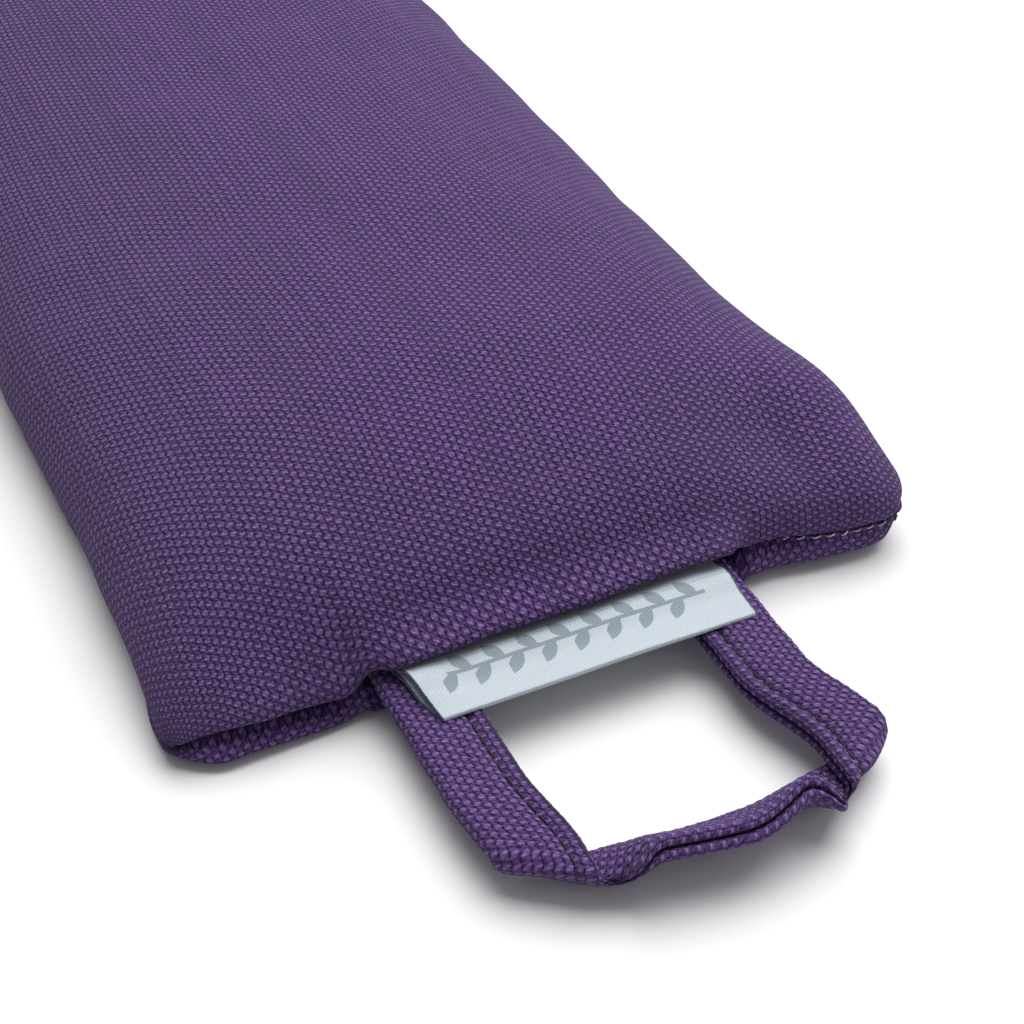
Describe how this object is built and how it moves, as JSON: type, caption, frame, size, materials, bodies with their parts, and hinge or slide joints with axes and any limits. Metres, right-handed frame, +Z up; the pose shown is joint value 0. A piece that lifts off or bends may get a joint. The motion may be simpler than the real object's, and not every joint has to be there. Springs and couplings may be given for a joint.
{
  "type": "eye pillow",
  "caption": "Seed-filled canvas eye pillow with an inner seed bag, a sewn-in fabric hang loop and a folded woven label at one end.",
  "frame": {"origin": "centre of the flat patch of the lower panel that the pillow rests on", "axes": "+X across the pillow, +Y along it away from the hang loop, +Z up out of the rest face"},
  "size_m": [0.102, 0.272, 0.026],
  "materials": {
    "cover_canvas": "purple plain-weave cotton canvas, matt",
    "strap_canvas": "purple plain-weave cotton canvas, folded into a strap",
    "purple_thread": "purple sewing thread",
    "pale_thread": "pale lilac sewing thread",
    "black_thread": "black sewing thread",
    "label_satin": "pale blue-grey woven satin ribbon",
    "muslin": "unbleached cotton muslin",
    "muslin_thread": "white sewing thread",
    "flaxseed": "glossy brown flaxseed",
    "lavender": "dried lavender buds, matt grey violet"
  },
  "bodies": {
    "pillow": {"cover_top_panel": "cover_canvas", "cover_bottom_panel": "cover_canvas", "side_seam_thread": "purple_thread", "end_seam_thread": "pale_thread", "inner_bag_top_panel": "muslin", "inner_bag_bottom_panel": "muslin", "inner_bag_seam_thread": "muslin_thread", "flaxseed_fill": "flaxseed", "lavender_buds": "lavender", "hang_loop_sewn_ends": "strap_canvas", "label_sewn_ends": "label_satin"},
    "hang_loop": {"hang_loop": "strap_canvas", "loop_topstitch_thread": "black_thread"},
    "label": {"label": "label_satin"}
  },
  "joints": [
    {"name": "loop_swing", "type": "hinge", "parent": "pillow", "child": "hang_loop", "pos_m": [0, -0.119, 0.0048], "axis": [-1, 0, 0], "range_deg": [-110, 70]},
    {"name": "label_flap", "type": "hinge", "parent": "hang_loop", "child": "label", "pos_m": [0, -0.119, 0.0068], "axis": [-1, 0, 0], "range_deg": [0, 35]}
  ]
}
